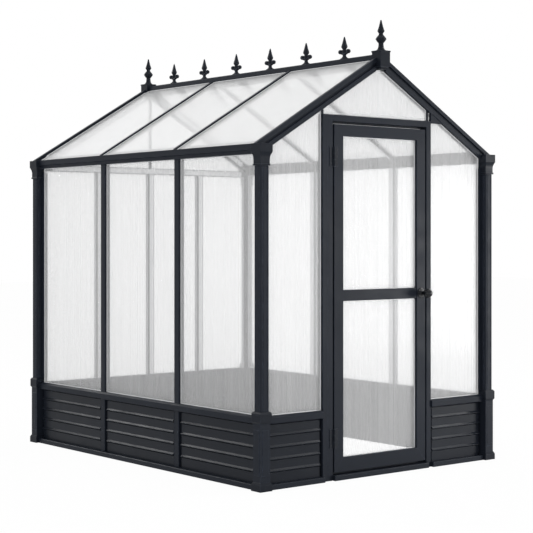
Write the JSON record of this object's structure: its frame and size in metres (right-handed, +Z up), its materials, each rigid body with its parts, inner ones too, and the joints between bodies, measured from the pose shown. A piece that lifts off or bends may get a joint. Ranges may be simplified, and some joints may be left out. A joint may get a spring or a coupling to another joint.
{
  "type": "ridge-roof greenhouse with a coated metal frame, twin-wall sheet glazing and a hinged gable door",
  "caption": "Small ridge-roof greenhouse: dark coated metal frame, translucent twin-wall sheets, boarded skirt, cresting finials and a hinged gable door.",
  "frame": {"origin": "middle of the footprint, on the ground", "axes": "+X across the gable to the right as seen from outside the door, +Y along the ridge away from the door, +Z up"},
  "size_m": [1.856, 2.5055, 2.6239],
  "materials": {
    "coated_frame": "satin",
    "skirt_boards": "satin",
    "castings": "satin",
    "twin_wall": "gloss",
    "hardware": "gloss"
  },
  "bodies": {
    "house": {"corner_posts": "coated_frame", "post_plinths": "castings", "post_casings": "coated_frame", "post_collars": "castings", "post_capitals": "castings", "post_channels": "coated_frame", "base_rails": "coated_frame", "sill_rails": "coated_frame", "left_skirt_panels": "skirt_boards", "right_skirt_panels": "skirt_boards", "front_skirt_panels": "skirt_boards", "back_skirt_panels": "skirt_boards", "skirt_stiles": "coated_frame", "side_mullions": "coated_frame", "back_mullions": "coated_frame", "eave_beams": "coated_frame", "back_tie_rail": "coated_frame", "front_rafters": "coated_frame", "back_rafters": "coated_frame", "roof_bars": "coated_frame", "ridge_beam": "coated_frame", "ridge_blocks": "castings", "end_finials": "castings", "ridge_finials": "castings", "door_uprights": "coated_frame", "hinge_side_stud": "coated_frame", "door_head": "coated_frame", "door_threshold": "coated_frame", "gable_bars": "coated_frame", "corner_gusset": "coated_frame", "left_wall_sheets": "twin_wall", "right_wall_sheets": "twin_wall", "back_wall_sheets": "twin_wall", "front_left_sheet": "twin_wall", "front_right_sheet": "twin_wall", "front_gable_sheet": "twin_wall", "back_gable_sheets": "twin_wall", "left_roof_sheets": "twin_wall", "right_roof_sheets": "twin_wall", "hinge_frame_leaves": "hardware"},
    "door": {"door_frame": "coated_frame", "door_mid_rail": "coated_frame", "door_sheets": "twin_wall", "hinge_door_leaves": "hardware", "door_knob": "hardware"}
  },
  "joints": [
    {"name": "door_hinge", "type": "hinge", "parent": "house", "child": "door", "pos_m": [-0.366, -1.198, 1.029], "axis": [0, 0, -1], "range_deg": [0, 110]}
  ]
}
